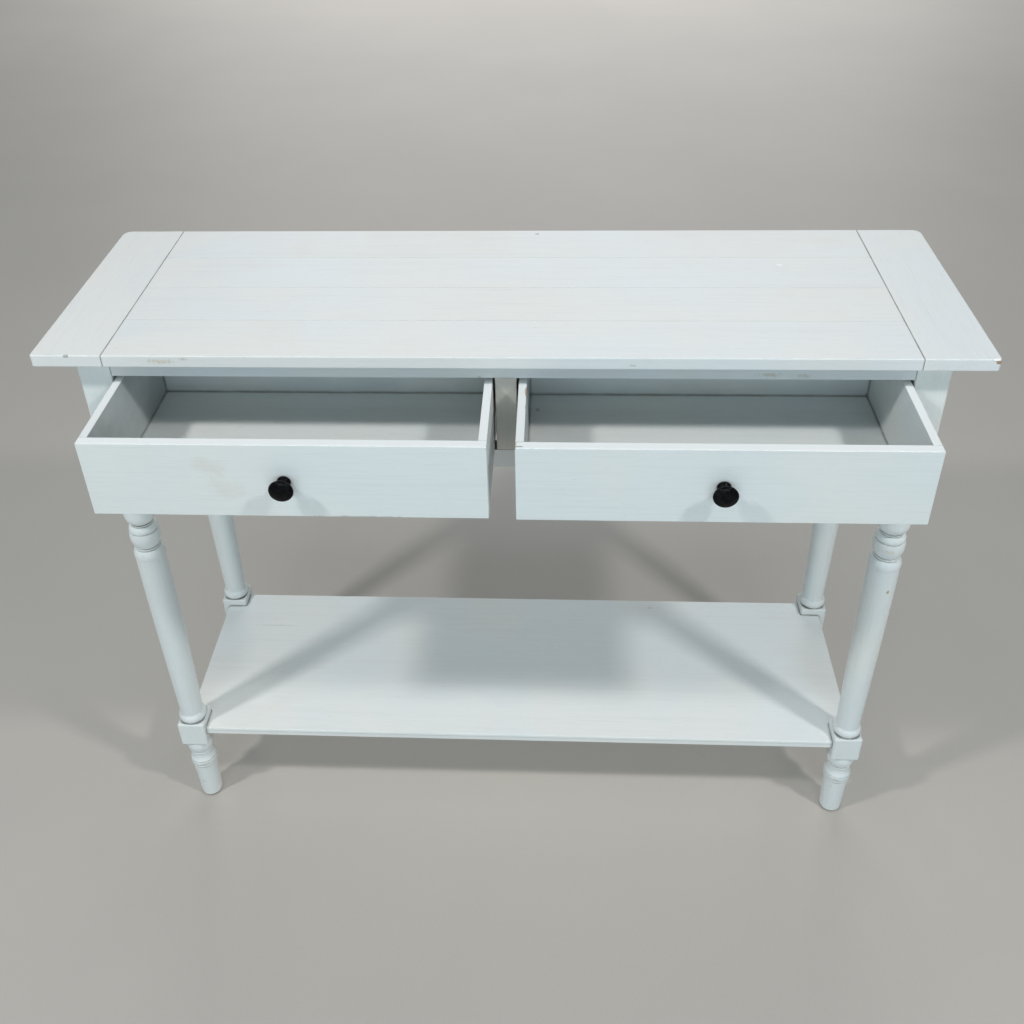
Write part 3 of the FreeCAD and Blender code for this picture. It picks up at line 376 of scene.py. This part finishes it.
TOP_MARKS = {
    "breadboard_left": [
        # dirt on the front edge, near the corner
        Mark(Vector((TOP_LOW.x + 0.043, TOP_FRONT, TOP_UP - 0.001)), (0.004, 0.003, 0.002),
             DIRT_AND_SHADE, 0.55, 0.6, 500.0),
    ],
    "breadboard_right": [
        # the front corner is chipped, down to the wood
        Mark(Vector((-TOP_LOW.x - 0.002, TOP_FRONT + 0.001, TOP_UP - 0.0035)),
             (0.0055, 0.006, 0.0035), CHIP_WOOD, 0.9, 0.6, 500.0),
        # old filler beside the chip
        Mark(Vector((-TOP_LOW.x - 0.005, TOP_FRONT, TOP_UP - 0.0005)), (0.006, 0.003, 0.0016),
             FILLER, 0.9, 0.5, 600.0),
    ],
    "top_board_1": [
        # a rusty stain on the front edge
        Mark(Vector((-0.389, TOP_FRONT, TOP_UP - 0.007)), (0.020, 0.006, 0.0045),
             RUST_BROWN, 0.40, 1.1, 200.0),
        # a smaller stain beside it
        Mark(Vector((-0.362, TOP_FRONT, TOP_UP - 0.004)), (0.007, 0.006, 0.0022),
             BROWN, 0.45, 0.9, 420.0),
        # a speck on the front edge
        Mark(Vector((0.142, TOP_FRONT, TOP_UP - 0.010)), (0.006, 0.005, 0.0018),
             DIRT_AND_SHADE, 0.35, 0.8, 420.0),
    ],
    "top_board_3": [
        # a pale speck
        Mark(Vector((0.338, TOP_FRONT + 0.2266, TOP_UP)), (0.0042, 0.0028, 0.003),
             FILLER, 0.85, 0.6, 500.0),
    ],
    "top_board_4": [
        # a dark speck
        Mark(Vector((0.031, TOP_FRONT + 0.3195, TOP_UP)), (0.0035, 0.0022, 0.003),
             DIRT_AND_SHADE, 0.6, 0.6, 500.0),
    ],
}

FRAME_MARKS = {
    "front_top_rail": [
        # a scuff under the top
        Mark(Vector((0.300, RAIL_LOW.y, RAIL_HIGH.z - 0.019)), (0.020, 0.004, 0.0038),
             RAIL_SCUFF, 0.50, 1.1, 260.0),
        # its greyer end
        Mark(Vector((0.335, RAIL_LOW.y, RAIL_HIGH.z - 0.020)), (0.013, 0.004, 0.0030),
             RAIL_SCUFF_GREY, 0.45, 1.1, 300.0),
        # dirt on the lower edge
        Mark(Vector((-0.030, RAIL_LOW.y, RAIL_LOW.z + 0.001)), (0.004, 0.004, 0.0028),
             DIRT_AND_SHADE, 0.35, 0.7, 500.0),
    ],
    "leg_front_right": [
        # a bare nick high on the leg
        Mark(Vector((0.4848, CORNER_LEG_LOW.y + 0.0015, 0.4575)), (0.0022, 0.006, 0.0030),
             BARE, 0.85, 0.6, 500.0),
        # a yellow stain above it
        Mark(Vector((0.4760, CORNER_LEG_LOW.y, 0.5255)), (0.010, 0.010, 0.0045),
             YELLOW_STAIN, 0.38, 0.9, 260.0),
        # dirt on a ring above the foot
        Mark(Vector((0.4740, CORNER_LEG_LOW.y + 0.004, 0.079)), (0.009, 0.010, 0.0022),
             RING_DIRT, 0.5, 0.9, 360.0),
        # a dark scuff on the foot
        Mark(Vector((0.4700, CORNER_LEG_LOW.y + 0.003, 0.060)), (0.003, 0.006, 0.0022),
             DARK_SCUFF, 0.5, 0.8, 420.0),
    ],
    "leg_front_left": [
        # a scuff on the foot
        Mark(Vector((-0.4835, CORNER_LEG_LOW.y + 0.003, 0.036)), (0.006, 0.008, 0.004),
             FOOT_SCUFF, 0.35, 0.9, 300.0),
        # dirt on a ring above the foot
        Mark(Vector((-0.4740, CORNER_LEG_LOW.y + 0.003, 0.0795)), (0.012, 0.008, 0.0022),
             RING_DIRT, 0.45, 0.9, 360.0),
    ],
    "shelf": [
        # a thin crack along the grain
        Mark(Vector((-0.400, SHELF_LOW.y + 0.2115, SHELF_HIGH.z)), (0.046, 0.0016, 0.003),
             CRACK_GREY, 0.35, 0.4, 200.0),
        # a speck near the back
        Mark(Vector((0.215, SHELF_HIGH.y - 0.017, SHELF_HIGH.z)), (0.005, 0.0035, 0.003),
             SHELF_SPECK, 0.4, 0.7, 400.0),
    ],
}

DRAWER_MARKS = {
    "left_drawer_front": [
        # a faint brown stain
        Mark(Vector((-0.318, LEFT_FRONT_LOW.y, LEFT_FRONT_HIGH.z - 0.031)), (0.026, 0.004, 0.017),
             FRONT_STAIN, 0.21, 0.8, 70.0),
        # its paler lower end
        Mark(Vector((-0.303, LEFT_FRONT_LOW.y, LEFT_FRONT_HIGH.z - 0.060)), (0.028, 0.004, 0.018),
             FRONT_STAIN_PALE, 0.17, 0.8, 70.0),
        # dirt along the lower edge
        Mark(Vector((-0.150, LEFT_FRONT_LOW.y, LEFT_FRONT_LOW.z + 0.0010)), (0.060, 0.004, 0.0012),
             DIRT_AND_SHADE, 0.35, 1.2, 200.0),
    ],
    "right_drawer_front": [
        # dirt across the left end of the top edge
        Mark(Vector((RIGHT_FRONT_LOW.x + 0.004, RIGHT_FRONT_LOW.y + 0.003, RIGHT_FRONT_HIGH.z)),
             (0.0055, 0.0010, 0.006), DIRT_AND_SHADE, 0.75, 0.5, 500.0),
        # a brown chip beside it
        Mark(Vector((RIGHT_FRONT_LOW.x, RIGHT_FRONT_LOW.y + 0.006, RIGHT_FRONT_HIGH.z - 0.001)),
             (0.0025, 0.0080, 0.0016), BROWN, 0.8, 0.6, 500.0),
    ],
    "right_drawer_side_left": [
        # the inner edge is chipped
        Mark(Vector((RIGHT_SIDE_HIGH.x - 0.0002, RIGHT_SIDE_LOW.y + 0.096, RIGHT_SIDE_HIGH.z)),
             (0.0018, 0.0110, 0.0050), CHIP_WOOD, 0.8, 0.6, 420.0),
        # and rubbed brown nearer the front
        Mark(Vector((RIGHT_SIDE_HIGH.x - 0.0001, RIGHT_SIDE_LOW.y + 0.066, RIGHT_SIDE_HIGH.z)),
             (0.0010, 0.0060, 0.0030), BROWN, 0.55, 0.7, 420.0),
    ],
    "right_drawer_bottom": [
        # a grey speck
        Mark(Vector((0.035, -0.004, RIGHT_FRONT_LOW.z + 0.0065)), (0.003, 0.0045, 0.002),
             GREY_SPECK, 0.8, 0.6, 420.0),
    ],
}

# ---- which material goes on which node --------------------------------------------------------

# painted light and shade: the top's paint is set a little darker than the frame's, to match how it
# is lit
TOP_PAINT_AND_SHADE = (0.770, 0.785, 0.795)
# painted light: the shelf's paint is paler, standing in for light bounced onto it
SHELF_PAINT_AND_LIGHT = (0.830, 0.850, 0.855)
# painted shade: the rails' paint is darker, standing in for the shade under the top
RAIL_PAINT_AND_SHADE = (0.68, 0.70, 0.71)
FRAME_PAINT = (0.785, 0.815, 0.818)
DRAWER_PAINT = (0.780, 0.815, 0.822)
# painted shade: the divider's paint is darker and browner, standing in for its shade between the
# drawers
DIVIDER_PAINT_AND_SHADE = (0.57, 0.535, 0.485)
# how much painted light makes the drawers' up-facing rims paler
RIM_PAINTED_LIGHT = 0.8
# seeds: one for each piece, counted up from these, so that each has its own pattern
END_SEED = 5
LEG_SEED = 8
FRAME_SEED = 13
DIVIDER_SEED = 20
DRAWER_SEEDS = (("left", 21), ("right", 31))


def dress(node, material):
    """Give a node one material, in place of the one it came with."""
    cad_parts[node].data.materials.clear()
    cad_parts[node].data.materials.append(material)


BOARD_EDGES = [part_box("top_board_%d" % number)[0].y for number in range(2, 5)]
TOP_SEAMS = (("X", (TOP_HIGH.x, -TOP_HIGH.x), 0.0011, 0.50), ("Y", BOARD_EDGES, 0.0006, 0.16))
END_SEAMS = TOP_SEAMS[:1]
for number in range(1, 5):
    board = "top_board_%d" % number
    dress(board, paint("paint_" + board, "x", TOP_PAINT_AND_SHADE, number, TOP_MARKS.get(board, ()),
                       seams=TOP_SEAMS))
for number, side in enumerate(("left", "right")):
    board = "breadboard_" + side
    dress(board, paint("paint_" + board, "y", TOP_PAINT_AND_SHADE, END_SEED + number,
                       TOP_MARKS.get(board, ()), seams=END_SEAMS))
for number, place in enumerate(("front_left", "front_right", "rear_left", "rear_right")):
    leg = "leg_" + place
    dress(leg, paint("paint_" + leg, "z", FRAME_PAINT, LEG_SEED + number,
                     FRAME_MARKS.get(leg, ()), dirt_and_crevice_shade=0.4))
SHELF_SEAM = (("Z", (SHELF_HIGH.z - 0.0050,), 0.0007, 0.30),)
for number, (piece, axis, colour, dirt_and_crevice_shade) in enumerate((
        ("front_top_rail", "x", RAIL_PAINT_AND_SHADE, 0.5), ("front_bottom_rail", "x", RAIL_PAINT_AND_SHADE, 0.3),
        ("side_apron_left", "y", FRAME_PAINT, 0.2), ("side_apron_right", "y", FRAME_PAINT, 0.2),
        ("rear_apron", "x", FRAME_PAINT, 0.2), ("shelf", "x", SHELF_PAINT_AND_LIGHT, 0.1))):
    dress(piece, paint("paint_" + piece, axis, colour, FRAME_SEED + number,
                       FRAME_MARKS.get(piece, ()), dirt_and_crevice_shade=dirt_and_crevice_shade,
                       seams=SHELF_SEAM if piece == "shelf" else ()))
# the divider gets the shaded paint and extra painted crevice shade and yellowing
dress("centre_divider",
      paint("paint_centre_divider", "z", DIVIDER_PAINT_AND_SHADE, DIVIDER_SEED, dirt_and_crevice_shade=0.8))
for side, seed in DRAWER_SEEDS:
    # the third number is how much painted shade greys each panel, most on the left sides
    for number, (panel, axis, inside_shade) in enumerate((
            ("front", "x", 0.0), ("side_left", "y", 0.62), ("side_right", "y", 0.16),
            ("back", "x", 0.26), ("bottom", "x", 0.03))):
        node = "%s_drawer_%s" % (side, panel)
        dress(node, paint("paint_" + node, axis, DRAWER_PAINT, seed + number,
                          DRAWER_MARKS.get(node, ()), dirt_and_crevice_shade=0.2, inside_shade=inside_shade,
                          rim=0.0 if panel == "bottom" else RIM_PAINTED_LIGHT))
    dress(side + "_knob", lacquer("lacquer_%s_knob" % side, seed))
    dress(side + "_knob_screw", steel("steel_%s_knob_screw" % side, seed))
WOOD_Y = bare_wood("bare_wood_lengthwise", "y", 3)
WOOD_X = bare_wood("bare_wood_crosswise", "x", 5)
for piece in ("top_cleat_left", "top_cleat_right", "side_guide_left", "side_guide_right",
              "centre_guide", "runner_left_outer", "runner_left_inner", "runner_right_inner",
              "runner_right_outer"):
    dress(piece, WOOD_Y)
dress("shelf_dowels", WOOD_X)
dress("top_screws", steel("steel_top_screws", 2))
dress("leg_glides", hard_plastic("plastic_leg_glides", 4))

# ---- floor, lights, camera -------------------------------------------------------------------

FLOOR_HALF = 7.0
floor_mesh = bpy.data.meshes.new("floor")
floor_mesh.from_pydata([(-FLOOR_HALF, -FLOOR_HALF, 0), (FLOOR_HALF, -FLOOR_HALF, 0),
                        (FLOOR_HALF, FLOOR_HALF, 0), (-FLOOR_HALF, FLOOR_HALF, 0)],
                       [], [(0, 1, 2, 3)])
floor = bpy.data.objects.new("floor", floor_mesh)
bpy.context.scene.collection.objects.link(floor)
floor.data.materials.append(studio_floor("studio_floor"))


def area_light(name, place, size, power, colour):
    """A rectangular lamp that faces AIM; size in metres, power in watts."""
    light = bpy.data.lights.new(name, "AREA")
    light.shape = "RECTANGLE"
    light.size, light.size_y = size
    light.energy = power
    light.color = colour
    lamp = bpy.data.objects.new(name, light)
    bpy.context.scene.collection.objects.link(lamp)
    lamp.location = place
    lamp.rotation_euler = (AIM - place).to_track_quat("-Z", "Y").to_euler()


AIM = Vector((0.0, 0.0, 0.6))
LAMP_WHITE = (1.0, 0.985, 0.97)
WINDOW_BLUE = (0.76, 0.92, 1.0)
OVERHEAD_PLACE = AIM + Vector((0.0, -0.3, 1.0)) * 3.0
WINDOW_PLACE = AIM + Vector((0.0, -1.0, 0.34)) * 5.0
area_light("lamp_left", Vector((-1.55, -1.02, 2.60)), (0.20, 0.20), 24, LAMP_WHITE)
area_light("lamp_right", Vector((1.50, -1.02, 2.60)), (0.20, 0.20), 23, LAMP_WHITE)
area_light("overhead", OVERHEAD_PLACE, (2.2, 1.2), 4, LAMP_WHITE)
area_light("wall_bounce", Vector((0.0, 7.5, 2.6)), (6.0, 2.0), 235, LAMP_WHITE)
area_light("window", WINDOW_PLACE, (4.5, 1.4), 98, WINDOW_BLUE)
SKY_COLOUR = (0.82, 0.94, 1.0, 1.0)
SKY_STRENGTH = 0.24
world = bpy.data.worlds.new("studio")
world.use_nodes = True
background = world.node_tree.nodes["Background"]
background.inputs["Color"].default_value = SKY_COLOUR
background.inputs["Strength"].default_value = SKY_STRENGTH
bpy.context.scene.world = world

CAMERA_PLACE = Vector((0.0578, -1.1276, 1.4504))
CAMERA_YAW = math.radians(-3.696)
CAMERA_PITCH = math.radians(33.63)
CAMERA_ROLL = math.radians(-1.685)
SENSOR_WIDTH = 36.0            # millimetres, like the focal length
FOCAL_LENGTH = 38.28
LENS_SHIFT = (0.0141, -0.1094)
ahead = Vector((math.sin(CAMERA_YAW) * math.cos(CAMERA_PITCH),
                math.cos(CAMERA_YAW) * math.cos(CAMERA_PITCH), -math.sin(CAMERA_PITCH)))
level = Vector((math.cos(CAMERA_YAW), -math.sin(CAMERA_YAW), 0))
upright = level.cross(ahead)
right = level * math.cos(CAMERA_ROLL) + upright * math.sin(CAMERA_ROLL)
up = upright * math.cos(CAMERA_ROLL) - level * math.sin(CAMERA_ROLL)
lens = bpy.data.cameras.new("camera")
lens.sensor_width = SENSOR_WIDTH
lens.lens = FOCAL_LENGTH
lens.shift_x, lens.shift_y = LENS_SHIFT
camera = bpy.data.objects.new("camera", lens)
bpy.context.scene.collection.objects.link(camera)
camera.matrix_world = Matrix((right, up, -ahead)).transposed().to_4x4()
camera.location = CAMERA_PLACE
bpy.context.scene.camera = camera
bpy.context.scene.view_settings.view_transform = "Standard"
